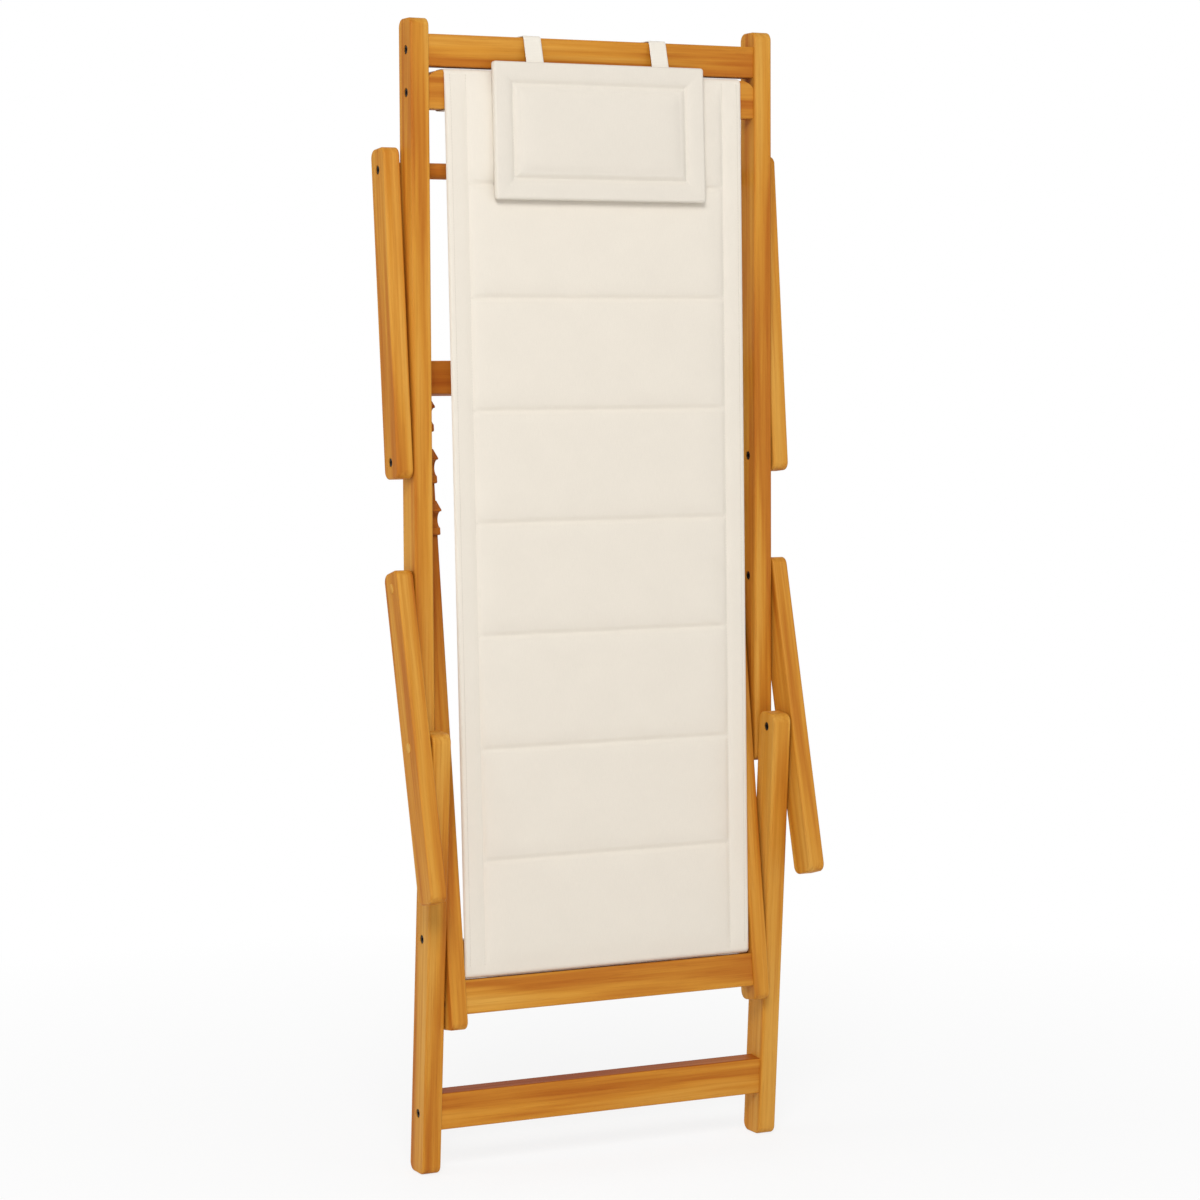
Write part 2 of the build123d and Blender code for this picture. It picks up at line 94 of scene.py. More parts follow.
def mix_colour(tree, factor, first, second, blend="MIX"):
    """Output of one colour Mix node."""
    made = tree.nodes.new("ShaderNodeMix")
    made.data_type = "RGBA"
    made.blend_type = blend
    sockets = {s.identifier: s for s in made.inputs}
    pairs = (("Factor_Float", factor), ("A_Color", first), ("B_Color", second))
    for key, value in pairs:
        if isinstance(value, bpy.types.NodeSocket):
            tree.links.new(value, sockets[key])
        elif key == "Factor_Float":
            sockets[key].default_value = value
        else:
            sockets[key].default_value = (*value, 1.0)
    return next(s for s in made.outputs if s.identifier == "Result_Color")


def ramp(tree, factor, stops):
    """Colour ramp through grey or colour stops."""
    made = tree.nodes.new("ShaderNodeValToRGB")
    tree.links.new(factor, made.inputs[0])
    bar = made.color_ramp
    while len(bar.elements) < len(stops):
        bar.elements.new(0.5)
    for element, (place, value) in zip(bar.elements, stops):
        element.position = place
        element.color = (*value, 1.0) if isinstance(value, tuple) else (value, value, value, 1.0)
    return made.outputs[0]


def new_material(name):
    """Empty node material with its Principled shader."""
    made = bpy.data.materials.new(name)
    made.use_nodes = True
    return made, made.node_tree, made.node_tree.nodes["Principled BSDF"]


def wear(obj, material):
    """Gives an object one material."""
    obj.data.materials.clear()
    obj.data.materials.append(material)
    for polygon in obj.data.polygons:
        polygon.material_index = 0


# ---------------------------------------------------------------- materials

PLAIN = (1.0, 1.0, 1.0)


def wood(name, lean, across, seed, tone=0.0, tint=PLAIN, painted_shade=None):
    """Oiled golden hardwood: long grain, growth rings, pores and a soft sheen.

    The last argument is (coordinates, start, end, colour): a painted shade that darkens the wood along
    their Z from start to end.
    """
    made, tree, shader = new_material(name)
    place = tree.nodes.new("ShaderNodeTexCoord").outputs["Object"]
    turn = (0.0, math.radians(-90.0), 0.0) if across else (math.radians(lean), 0.0, 0.0)
    board = add(tree, "ShaderNodeMapping", Vector=place, Rotation=turn).outputs[0]
    shift = (0.31 * seed % 1.7, 0.53 * seed % 2.3, 0.77 * seed % 3.1)
    board = add(tree, "ShaderNodeMapping", Vector=board, Location=shift).outputs[0]

    slow = add(tree, "ShaderNodeMapping", Vector=board, Scale=(1.0, 1.0, 0.05)).outputs[0]
    broad = add(tree, "ShaderNodeTexNoise", Vector=slow, Scale=42.0, Detail=2.5, Roughness=0.5)
    long_grain = add(tree, "ShaderNodeMapping", Vector=board, Scale=(1.0, 1.0, 0.022)).outputs[0]
    fibre = add(tree, "ShaderNodeTexNoise", Vector=long_grain, Scale=230.0, Detail=5.0, Roughness=0.62)
    fine = add(tree, "ShaderNodeTexNoise", Vector=long_grain, Scale=900.0, Detail=2.0)

    pith = (0.05 + 0.011 * (seed % 5), 0.035 + 0.013 * (seed % 3), 0.0)
    ringed = add(tree, "ShaderNodeMapping", Vector=board, Scale=(1.0, 1.0, 0.035), Location=pith)
    rings = add(
        tree,
        "ShaderNodeTexWave",
        wave_type="RINGS",
        rings_direction="Z",
        wave_profile="SAW",
        Vector=ringed.outputs[0],
        Scale=34.0,
        Distortion=5.5,
        Detail=2.5,
    )
    rings.inputs["Detail Scale"].default_value = 0.22

    light = (0.668 * tint[0], 0.332 * tint[1], 0.052 * tint[2])
    middle = (0.608 * tint[0], 0.258 * tint[1], 0.025 * tint[2])
    deep = (0.470 * tint[0], 0.150 * tint[1], 0.009 * tint[2])
    stops = [(0.33 - tone, deep), (0.47 - tone, middle), (0.64 - tone, light)]
    base = ramp(tree, broad.outputs[0], stops)
    late = ramp(tree, rings.outputs[0], [(0.0, 0.0), (0.72, 0.12), (0.93, 0.85), (1.0, 0.3)])
    late = math_node(tree, "MULTIPLY", late, 0.30)
    base = mix_colour(tree, late, base, deep)
    dark_grain, pale_grain = (0.90, 0.80, 0.66), (1.06, 1.10, 1.16)
    streak = ramp(tree, fibre.outputs[0], [(0.34, dark_grain), (0.52, PLAIN), (0.68, pale_grain)])
    base = mix_colour(tree, 1.0, base, streak, "MULTIPLY")
    pores = ramp(tree, fine.outputs[0], [(0.30, (0.78, 0.66, 0.50)), (0.37, PLAIN)])
    base = mix_colour(tree, 0.5, base, pores, "MULTIPLY")
    # Painted shade: darkens the colour along Z of the given coordinates, standing in for shade.
    if painted_shade:
        kind, start, end, colour = painted_shade
        axis = tree.nodes.new("ShaderNodeTexCoord").outputs[kind]
        rise = add(tree, "ShaderNodeSeparateXYZ", Vector=axis).outputs[2]
        shade_tint = ramp(tree, rise, [(start, PLAIN), (end, colour)])
        base = mix_colour(tree, 1.0, base, shade_tint, "MULTIPLY")
    tree.links.new(base, shader.inputs["Base Color"])

    rough = ramp(tree, fibre.outputs[0], [(0.3, 0.62), (0.7, 0.48)])
    tree.links.new(rough, shader.inputs["Roughness"])
    shader.inputs["Specular IOR Level"].default_value = 0.20
    shader.inputs["Coat Weight"].default_value = 0.03
    shader.inputs["Coat Roughness"].default_value = 0.32
    height = math_node(tree, "ADD", math_node(tree, "MULTIPLY", fine.outputs[0], 0.5), fibre.outputs[0])
    bump = add(tree, "ShaderNodeBump", Height=height, Strength=0.22, Distance=0.0005)
    tree.links.new(bump.outputs[0], shader.inputs["Normal"])
    return made


def canvas(name, thread, colour, relief=0.35, rib=False):
    """Plain-woven outdoor cloth, its threads spaced by thread metres on the UV map."""
    made, tree, shader = new_material(name)
    flat = tree.nodes.new("ShaderNodeTexCoord").outputs["UV"]
    split = add(tree, "ShaderNodeSeparateXYZ", Vector=flat)
    step = math.pi / thread
    warp = math_node(tree, "MULTIPLY", split.outputs[0], step)
    weft = math_node(tree, "MULTIPLY", split.outputs[1], step * (0.5 if rib else 1.0))
    sine_warp = math_node(tree, "SINE", warp)
    sine_weft = math_node(tree, "SINE", weft)
    over = math_node(tree, "MULTIPLY", sine_warp, sine_weft)
    over = math_node(tree, "GREATER_THAN", over, 0.0)
    up = math_node(tree, "ABSOLUTE", sine_warp)
    side = math_node(tree, "ABSOLUTE", sine_weft)
    warp_face = math_node(tree, "MULTIPLY", up, over)
    under = math_node(tree, "SUBTRACT", 1.0, over)
    weft_face = math_node(tree, "MULTIPLY", side, under)
    weave = math_node(tree, "ADD", warp_face, weft_face)
    along = add(tree, "ShaderNodeMapping", Vector=flat, Scale=(1.0, 0.08, 1.0)).outputs[0]
    slub = add(tree, "ShaderNodeTexNoise", Vector=along, Scale=1100.0, Detail=2.0)
    patch = add(tree, "ShaderNodeTexNoise", Vector=flat, Scale=17.0, Detail=4.0, Roughness=0.55)
    shade = math_node(tree, "MULTIPLY_ADD", weave, 0.10, 0.925)
    for texture, depth, level in ((slub, 0.06, 0.97), (patch, 0.05, 0.975)):
        cloudy = math_node(tree, "MULTIPLY_ADD", texture.outputs[0], depth, level)
        shade = math_node(tree, "MULTIPLY", shade, cloudy)
    tint = add(tree, "ShaderNodeCombineColor", Red=shade, Green=shade, Blue=shade).outputs[0]
    base = mix_colour(tree, 1.0, colour, tint, "MULTIPLY")
    tree.links.new(base, shader.inputs["Base Color"])
    shader.inputs["Roughness"].default_value = 0.86
    shader.inputs["Specular IOR Level"].default_value = 0.2
    shader.inputs["Sheen Weight"].default_value = 0.18
    shader.inputs["Sheen Roughness"].default_value = 0.5
    height = math_node(tree, "ADD", weave, math_node(tree, "MULTIPLY", slub.outputs[0], 0.5))
    bump = add(tree, "ShaderNodeBump", Height=height, Strength=relief, Distance=0.0003)
    tree.links.new(bump.outputs[0], shader.inputs["Normal"])
    return made


def thread_material(name, colour):
    """Twisted sewing thread."""
    made, tree, shader = new_material(name)
    place = tree.nodes.new("ShaderNodeTexCoord").outputs["Object"]
    twist = add(tree, "ShaderNodeTexNoise", Vector=place, Scale=1500.0, Detail=1.0)
    shade = ramp(tree, twist.outputs[0], [(0.3, tuple(0.82 * c for c in colour)), (0.7, colour)])
    tree.links.new(shade, shader.inputs["Base Color"])
    shader.inputs["Roughness"].default_value = 0.7
    return made


def dark_steel(name, colour, roughness):
    """Blackened steel with worn, slightly lighter patches."""
    made, tree, shader = new_material(name)
    place = tree.nodes.new("ShaderNodeTexCoord").outputs["Object"]
    worn = add(tree, "ShaderNodeTexNoise", Vector=place, Scale=420.0, Detail=4.0, Roughness=0.6)
    shade = ramp(tree, worn.outputs[0], [(0.35, colour), (0.75, tuple(1.9 * c for c in colour))])
    tree.links.new(shade, shader.inputs["Base Color"])
    shader.inputs["Metallic"].default_value = 0.85
    rough = ramp(tree, worn.outputs[0], [(0.3, roughness), (0.8, roughness - 0.15)])
    tree.links.new(rough, shader.inputs["Roughness"])
    bump = add(tree, "ShaderNodeBump", Height=worn.outputs[0], Strength=0.15, Distance=0.0002)
    tree.links.new(bump.outputs[0], shader.inputs["Normal"])
    return made


# ---------------------------------------------------------------- wooden and metal parts

# Painted shade: darker, redder tint for the prop bar and seat rear bar, which sit in shade behind the
# frame.
SHADED_BAR_TINT = (0.90, 0.66, 0.46)
# Painted shade: darkens faces that point upward, for the foot bar's top lying in shade under the seat.
PAINTED_TOP_SHADE = ("Normal", 0.55, 0.85, (0.66, 0.46, 0.14))
# Painted shade: darkens the seat rails from 0.58 to 0.80 m up, where they lie in shade behind the sling
# and back rails.
PAINTED_RACK_SHADE = ("Object", 0.58, 0.80, (0.68, 0.42, 0.20))
BOARDS = {
    "back_rail_left": ("back", False, 0.02, PLAIN, None),
    "back_rail_right": ("back", False, -0.02, PLAIN, None),
    "head_bar": ("back", True, -0.07, (1.0, 0.98, 0.94), None),
    # Painted shade: the sling bar's tint is darker and redder for its place in shade behind the sling.
    "sling_bar": ("back", True, -0.06, (0.98, 0.94, 0.92), None),
    "seat_rail_left": ("seat", False, 0.03, PLAIN, PAINTED_RACK_SHADE),
    "seat_rail_right": ("seat", False, 0.01, PLAIN, PAINTED_RACK_SHADE),
    "seat_front_bar": ("seat", True, -0.04, PLAIN, None),
    "seat_rear_bar": ("seat", True, -0.05, SHADED_BAR_TINT, None),
    "seat_sling_bar": ("seat", True, 0.0, PLAIN, None),
    "front_leg_left": ("leg", False, 0.0, PLAIN, None),
    "front_leg_right": ("leg", False, 0.03, PLAIN, None),
    "foot_bar": ("leg", True, -0.10, (1.0, 0.95, 0.84), PAINTED_TOP_SHADE),
    "arm_left": ("arm", False, -0.08, PLAIN, None),
    "arm_right": ("arm", False, 0.0, PLAIN, None),
    "prop_leg_left": ("prop", False, -0.06, PLAIN, None),
    "prop_leg_right": ("prop", False, -0.06, PLAIN, None),
    "prop_bar": ("prop", True, -0.04, SHADED_BAR_TINT, None),
}
for count, (name, (group, across, tone, tint, painted_shade)) in enumerate(BOARDS.items()):
    wear(nodes[name], wood("wood_" + name, LEAN[group], across, count + 1, tone, tint, painted_shade))
plug_wood = wood("wood_plugs", 40.0, False, 29, 0.06, (1.03, 1.12, 1.35))
steel = dark_steel("blackened_steel", (0.035, 0.028, 0.022), 0.55)
washer_steel = dark_steel("washer_steel", (0.16, 0.15, 0.14), 0.5)
for name, obj in nodes.items():
    if "plugs" in name:
        wear(obj, plug_wood)
    elif "washers" in name:
        wear(obj, washer_steel)
    elif name.endswith(("bolts", "nuts")):
        wear(obj, steel)


# ---------------------------------------------------------------- mesh helpers


def smooth_mesh(name, points, faces, uvs=None):
    """Mesh object from points and faces, shaded smooth, with one UV per point."""
    mesh = bpy.data.meshes.new(name)
    mesh.from_pydata(points, [], faces)
    mesh.validate()
    for polygon in mesh.polygons:
        polygon.use_smooth = True
    if uvs:
        layer = mesh.uv_layers.new(name="cloth")
        for loop in mesh.loops:
            layer.data[loop.index].uv = uvs[loop.vertex_index]
    obj = bpy.data.objects.new(name, mesh)
    bpy.context.scene.collection.objects.link(obj)
    return obj


def spaced(low, high, step, creases, fine_step, reach):
    """Values from low to high, step apart but fine_step apart within reach of each crease."""
    values = [low]
    while values[-1] < high - 1e-9:
        here = values[-1]
        near = min((abs(here - c) for c in creases), default=1.0)
        stride = fine_step if near < reach else min(step, max(fine_step, near - reach + fine_step))
        values.append(min(high, here + stride))
    if values[-1] - values[-2] < 0.3 * fine_step:
        values.pop(-2)
    return values


def mirrored(reach, step, creases, fine_step, near):
    """Spaced values from -reach to reach, the same on both sides of 0."""
    values = spaced(0.0, reach, step, creases, fine_step, near)
    return [-value for value in reversed(values[1:])] + values


def rounded(corners, radii, pieces=7):
    """Polyline through corners with each inner corner turned on a radius."""
    line = [Vector(corners[0])]
    for before, here, after, radius in zip(corners, corners[1:], corners[2:], radii):
        here = Vector(here)
        back = (Vector(before) - here).normalized()
        forth = (Vector(after) - here).normalized()
        half = back.angle(forth) / 2
        run = min(
            radius / math.tan(half),
            0.49 * (Vector(before) - here).length,
            0.49 * (Vector(after) - here).length,
        )
        radius = run * math.tan(half)
        centre = here + (back + forth).normalized() * (radius / math.sin(half))
        start = here + back * run - centre
        sweep = start.angle_signed(here + forth * run - centre)
        for k in range(pieces + 1):
            angle = -sweep * k / pieces
            c, s = math.cos(angle), math.sin(angle)
            line.append(centre + Vector((start.x * c - start.y * s, start.x * s + start.y * c)))
    line.append(Vector(corners[-1]))
    return line


class Path:
    """A (y, z) line measured by length, with the normal on its left when seen from +X."""

    def __init__(self, line):
        self.line = [line[0]]
        self.at = [0.0]
        for point in line[1:]:
            gap = (point - self.line[-1]).length
            if gap > 1e-7:
                self.line.append(point)
                self.at.append(self.at[-1] + gap)
        self.length = self.at[-1]

    def point(self, s):
        s = min(max(s, 0.0), self.length)
        k = 0
        while k < len(self.at) - 2 and self.at[k + 1] < s:
            k += 1
        share = (s - self.at[k]) / (self.at[k + 1] - self.at[k])
        return self.line[k].lerp(self.line[k + 1], share)

    def normal(self, s):
        ahead = self.point(s + 0.0008) - self.point(s - 0.0008)
        ahead.normalize()
        return Vector((ahead.y, -ahead.x))

    def where(self, z, after=0.0):
        """Length at which the line first drops to height z."""
        for k in range(1, len(self.at)):
            if self.at[k] > after and self.line[k - 1].y >= z > self.line[k].y:
                share = (self.line[k - 1].y - z) / (self.line[k - 1].y - self.line[k].y)
                return self.at[k - 1] + share * (self.at[k] - self.at[k - 1])
        return self.length


def two_sided(name, rows, columns, front, back):
    """Closed sheet from a grid: front and back give each grid point's place."""
    points, uvs, faces = [], [], []
    for side in (front, back):
        for s in rows:
            for x in columns:
                points.append(side(x, s))
                uvs.append((x, s))
    high, wide = len(rows), len(columns)
    half = high * wide

    def at(side, r, c):
        return side * half + r * wide + c

    for r in range(high - 1):
        for c in range(wide - 1):
            faces.append((at(0, r, c), at(0, r + 1, c), at(0, r + 1, c + 1), at(0, r, c + 1)))
            faces.append((at(1, r, c), at(1, r, c + 1), at(1, r + 1, c + 1), at(1, r + 1, c)))
    for r in range(high - 1):
        faces.append((at(0, r, 0), at(1, r, 0), at(1, r + 1, 0), at(0, r + 1, 0)))
        last = wide - 1
        faces.append((at(0, r, last), at(0, r + 1, last), at(1, r + 1, last), at(1, r, last)))
    for c in range(wide - 1):
        faces.append((at(0, 0, c), at(0, 0, c + 1), at(1, 0, c + 1), at(1, 0, c)))
        last = high - 1
        faces.append((at(0, last, c), at(1, last, c), at(1, last, c + 1), at(0, last, c + 1)))
    return smooth_mesh(name, points, faces, uvs)


def stitches(name, lines, length, gap, radius):
    """Short thread stitches laid end to end along lines of (place, normal) samples."""
    points, faces = [], []
    for samples in lines:
        run = [0.0]
        for (a, _), (b, _) in zip(samples, samples[1:]):
            run.append(run[-1] + (b - a).length)

        def place(d):
            k = 0
            while k < len(run) - 2 and run[k + 1] < d:
                k += 1
            share = (d - run[k]) / max(run[k + 1] - run[k], 1e-9)
            return samples[k][0].lerp(samples[k + 1][0], share), samples[k][1]

        # Each stitch is four hexagonal rings: its ends are thinner and sink into the cloth.
        rings = ((0.0, 0.55, -0.5), (0.25, 1.0, 0.25), (0.75, 1.0, 0.25), (1.0, 0.55, -0.5))
        d = gap
        while d + length < run[-1]:
            start, normal = place(d)
            end, _ = place(d + length)
            ahead = (end - start).normalized()
            side = ahead.cross(normal).normalized()
            first = len(points)
            for share, size, lift in rings:
                middle = start.lerp(end, share) + normal * (radius * lift)
                for turn in range(6):
                    angle = math.pi * turn / 3
                    spoke = side * math.cos(angle) + normal * math.sin(angle)
                    points.append(middle + spoke * (radius * size))
            for ring in range(3):
                for turn in range(6):
                    a = first + ring * 6 + turn
                    b = first + ring * 6 + (turn + 1) % 6
                    faces.append((a, b, b + 6, a + 6))
            faces.append(tuple(first + k for k in reversed(range(6))))
            faces.append(tuple(first + 18 + k for k in range(6)))
            d += length + gap
    return smooth_mesh(name, points, faces)


def inflate(name, reach, start, end, step, stitched, slack, full):
    """Cloth of half-width reach, held at its stitched points and blown up by a little pressure.

    Returns how full the padding is at (x, v): 0 where the cloth lies flat, 1 at height full.
    """
    wide = 2 * round(reach / step) + 1
    high = round((end - start) / step) + 1
    gap_x, gap_v = 2 * reach / (wide - 1), (end - start) / (high - 1)
    places = [(-reach + c * gap_x, start + r * gap_v) for r in range(high) for c in range(wide)]
    held = [k for k, (x, v) in enumerate(places) if stitched(x, v, gap_x / 2, gap_v / 2)]
    points = [(x, v, 0.0004 * (1.0 + noise.noise(Vector((x * 50.0, v * 50.0, 4.0))))) for x, v in places]
    for k in held:
        points[k] = (*places[k], 0.0)
    faces = []
    for r in range(high - 1):
        for c in range(wide - 1):
            a = r * wide + c
            faces.append((a, a + 1, a + wide + 1, a + wide))
    mesh = bpy.data.meshes.new(name)
    mesh.from_pydata(points, [], faces)
    sheet = bpy.data.objects.new(name, mesh)
    bpy.context.scene.collection.objects.link(sheet)
    sheet.vertex_groups.new(name="stitched").add(held, 1.0, "REPLACE")
    cloth = sheet.modifiers.new("cloth", "CLOTH")
    settings = cloth.settings
    settings.quality = 5
    settings.mass = 0.15
    settings.tension_stiffness = 40.0
    settings.compression_stiffness = 40.0
    settings.shear_stiffness = 12.0
    settings.bending_stiffness = 0.05
    settings.air_damping = 3.0
    settings.use_pressure = True
    settings.uniform_pressure_force = 4.0
    settings.shrink_min = -slack
    settings.vertex_group_mass = "stitched"
    settings.effector_weights.gravity = 0.0
    last = 18
    cloth.point_cache.frame_end = last + 1
    for count in range(1, last + 1):
        bpy.context.scene.frame_set(count)
    shaped = sheet.evaluated_get(bpy.context.evaluated_depsgraph_get()).to_mesh()
    lift = [min(max(vertex.co.z / full, -0.4), 1.3) for vertex in shaped.vertices]
    bpy.context.scene.frame_set(1)
    bpy.data.objects.remove(sheet)
    bpy.data.meshes.remove(mesh)

    def fullness(x, v):
        across = min(max((x + reach) / gap_x, 0.0), wide - 1.001)
        along = min(max((v - start) / gap_v, 0.0), high - 1.001)
        c, r = int(across), int(along)
        fx, fv = across - c, along - r
        near = lift[r * wide + c] * (1 - fx) + lift[r * wide + c + 1] * fx
        far = lift[(r + 1) * wide + c] * (1 - fx) + lift[(r + 1) * wide + c + 1] * fx
        return near * (1 - fv) + far * fv

    return fullness


# ---------------------------------------------------------------- sling

bar_low, bar_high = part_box("sling_bar")
rail_low, rail_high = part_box("back_rail_left")
BACK_Y = (rail_low.y + rail_high.y) / 2
PIVOT = Vector(joints["fold"]["pos_m"])
TILT = math.radians(LEAN["seat"])
HALF = 0.220
TOP_HALF = 0.2262
BORDER = 0.030
CLOTH = 0.0018
SEAMS = (1.349, 1.1955, 1.043, 0.8905, 0.737, 0.5825, 0.430)


def on_seat(along, forward):
    """(y, z) of a point on the seat frame: along its rails and in front of their centre line."""
    y = PIVOT.y + along * math.sin(TILT) - forward * math.cos(TILT)
    z = PIVOT.z + along * math.cos(TILT) + forward * math.sin(TILT)
    return (y, z)


bar_front = bar_low.y
bar_back = bar_high.y
bar_top = bar_high.z
bar_foot = bar_low.z
top_corner = (bar_front - 0.0010, bar_top + 0.0006)
HEM_TOP, HEM_FOOT, HEM_FRONT, HEM_BACK = -0.2434, -0.2938, 0.0106, -0.0166
outline = [
    (bar_front + 0.0010, bar_foot - 0.0007),
    (bar_back + 0.0008, bar_foot - 0.0007),
    (bar_back + 0.0008, bar_top + 0.0006),
    top_corner,
    on_seat(HEM_FOOT, HEM_FRONT),
    on_seat(HEM_FOOT, HEM_BACK),
    on_seat(HEM_TOP, HEM_BACK),
    on_seat(HEM_TOP, HEM_FRONT - 0.0050),
]
turns = [0.003, 0.003, 0.006, 0.0055, 0.0035, 0.003]
path = Path(rounded(outline, turns))
front_start = path.where(bar_top - 0.004, 0.060)
front_end = path.where(0.2840, front_start)
seam_at = [path.where(z, front_start) for z in SEAMS]
TOP_EDGE = path.where(1.488, front_start)


def soft_step(low, high, value):
    """0 below low, 1 above high, and smooth between."""
    t = min(max((value - low) / (high - low), 0.0), 1.0)
    return t * t * (3 - 2 * t)


def crease(distance, reach):
    """Height of padding next to a stitched line, from 0 on the line to 1 away from it."""
    return 1.0 - math.exp(-max(distance, 0.0) / reach)


def sling_stitched(x, s, near_x, near_s):
    """Whether the sling's padding is sewn flat at a point."""
    if min(abs(abs(x) - HALF), abs(abs(x) - (HALF - BORDER))) < near_x:
        return True
    on_seam = min(abs(s - place) for place in [front_start, front_end, *seam_at]) < near_s
    return on_seam and abs(x) < HALF - BORDER


sling_fullness = inflate(
    "sling_blown_up", HALF, front_start, front_end, 0.0055, sling_stitched, 0.012, 0.012
)


def puff(x, s, depth):
    """Padding on the sling's face at a point: quilted panels inside flatter side borders."""
    inset = HALF - abs(x)
    top = soft_step(front_start - 0.004, TOP_EDGE + 0.030, s)
    along = min(top, 1.0 - soft_step(front_end - 0.028, front_end + 0.022, s))
    nearest = min(seam_at, key=lambda place: abs(s - place))
    seam = abs(s - nearest)
    edge = math.sqrt(max(0.0, 1.0 - (1.0 - min(inset / 0.0045, 1.0)) ** 2))
    stitched = inset - BORDER
    if stitched < 0.0:
        height = 0.42 * crease(-stitched, 0.006) + 0.05 * math.exp(-(((inset - 0.007) / 0.006) ** 2))
    else:
        wander = noise.noise(Vector((x * 40.0, s * 40.0, 3.0)))
        near = min(seam, stitched)
        above = s < nearest
        cross = crease(seam, 0.0095 if above else 0.0040)
        cross *= 1.0 + (0.75 if above else -0.06) * math.exp(-seam / 0.026)
        height = cross * crease(stitched, 0.0065)
        height *= 0.80 + 0.24 * sling_fullness(x, s)
        height -= 0.05 * math.exp(-(((near - 0.0100) / 0.0022) ** 2))
        height = max(height + 0.04 * wander, 0.0)
    cloth = CLOTH * (0.45 + 0.55 * soft_step(0.030, 0.060, s))
    return depth * height * along * edge + cloth * (0.35 + 0.65 * edge)


def spread(x, s):
    """Place across the sling, which widens evenly towards its top."""
    share = min(max((path.point(s).y - 0.336) / (bar_top - 0.336), 0.0), 1.0)
    return x * (1.0 + share * (TOP_HALF / HALF - 1.0))


def sling_front(x, s):
    point = path.point(s) + path.normal(s) * puff(x, s, 0.0058)
    return (spread(x, s), point.x, point.y)


def sling_back(x, s):
    inset = HALF - abs(x)
    flat = soft_step(TOP_EDGE + 0.050, TOP_EDGE + 0.090, s)
    flat *= 1.0 - soft_step(front_end - 0.075, front_end - 0.045, s)
    swell = flat * max(0.0, puff(x, s, 0.0016) - CLOTH)
    edge = math.sqrt(max(0.0, 1.0 - (1.0 - min(inset / 0.0045, 1.0)) ** 2))
    point = path.point(s) - path.normal(s) * (swell * edge) + path.normal(s) * 0.0005 * (1.0 - edge)
    return (spread(x, s), point.x, point.y)


bends = [0.006 * k for k in range(int(front_start / 0.006) + 2)]
bends += [front_end - 0.006 + 0.006 * k for k in range(24)]
rows = spaced(0.0, path.length, 0.0075, seam_at + bends, 0.0018, 0.0100)
columns = mirrored(HALF, 0.0075, [HALF - BORDER, HALF], 0.0016, 0.0110)
sling = two_sided("quilted_sling", rows, columns, sling_front, sling_back)
cream = (0.830, 0.765, 0.665)
wear(sling, canvas("cream_canvas", 0.0009, cream))



def on_sling(x, s):
    """Place and outward direction of a point on the sling's face."""
    outward = path.normal(s)
    return Vector(sling_front(x, s)), Vector((0.0, outward.x, outward.y))


lines = []
for place in seam_at:
    line = []
    for k in range(96):
        x = -(HALF - BORDER) + k * 2 * (HALF - BORDER) / 95
        line.append(on_sling(x, place))
    lines.append(line)
for side in (-1, 1):
    for inset in (BORDER, 0.0075):
        line = []
        s = front_start
        while s < front_end:
            x = side * (HALF - inset)
            line.append(on_sling(x, s))
            s += 0.004
        lines.append(line)
STITCH = (0.0030, 0.0011, 0.00042)  # length, gap and thread radius
sling_thread = stitches("sling_stitches", lines, *STITCH)
thread = thread_material("cream_thread", (0.74, 0.68, 0.58))
wear(sling_thread, thread)


# ---------------------------------------------------------------- head pillow

pad_low, pad_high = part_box("head_pillow")
PAD_HALF = 0.160
PAD_TALL = 0.186
pad_centre = (pad_low + pad_high) / 2
s_top = path.where(1.470, front_start)
s_low = path.where(0.300, front_start)
fall = path.point(s_low) - path.point(s_top)
fall.normalize()
pad_down = Vector((0.0, fall.x, fall.y))
pad_out = Vector((0.0, fall.y, -fall.x))
pad_origin = Vector((0.0, *path.point(path.where(pad_centre.z, front_start)))) + pad_out * 0.0085
PAD_CORNER = 0.004
FRAME_INSET = 0.0290


def pad_stitched(x, v, near_x, near_v):
    """Whether the pillow's padding is sewn flat at a point."""
    dx, dv = PAD_HALF - abs(x), PAD_TALL / 2 - abs(v)
    on_ring_x = abs(dx - FRAME_INSET) < near_x and dv > FRAME_INSET - near_v
    on_ring_v = abs(dv - FRAME_INSET) < near_v and dx > FRAME_INSET - near_x
    return dx < near_x or dv < near_v or on_ring_x or on_ring_v


pad_fullness = inflate(
    "pillow_blown_up", PAD_HALF, -PAD_TALL / 2, PAD_TALL / 2, 0.0042, pad_stitched, 0.012, 0.012
)


def pad_puff(x, v, border, middle):
    """Padding over the pillow: a soft border round a stitched rectangle and a fuller middle."""
    inset = max(0.0, min(PAD_HALF - abs(x), PAD_TALL / 2 - abs(v)))
    rim = 0.45 + 0.55 * math.sqrt(1.0 - (1.0 - min(inset / 0.0040, 1.0)) ** 2)
    inside = min(PAD_HALF - FRAME_INSET - abs(x), PAD_TALL / 2 - FRAME_INSET - abs(v))
    if inside < 0.0:
        height = border * crease(-inside, 0.0055)
    else:
        sag = 1.0 + 0.30 * v / (PAD_TALL / 2)
        height = middle * (crease(inside, 0.0060) * 0.64 + 0.36 * crease(inside, 0.028)) * sag
        height -= 0.0007 * math.exp(-(((inside - 0.0100) / 0.0022) ** 2))
        height *= 0.84 + 0.18 * pad_fullness(x, v)
    return (max(height, 0.0) + 0.0012) * rim


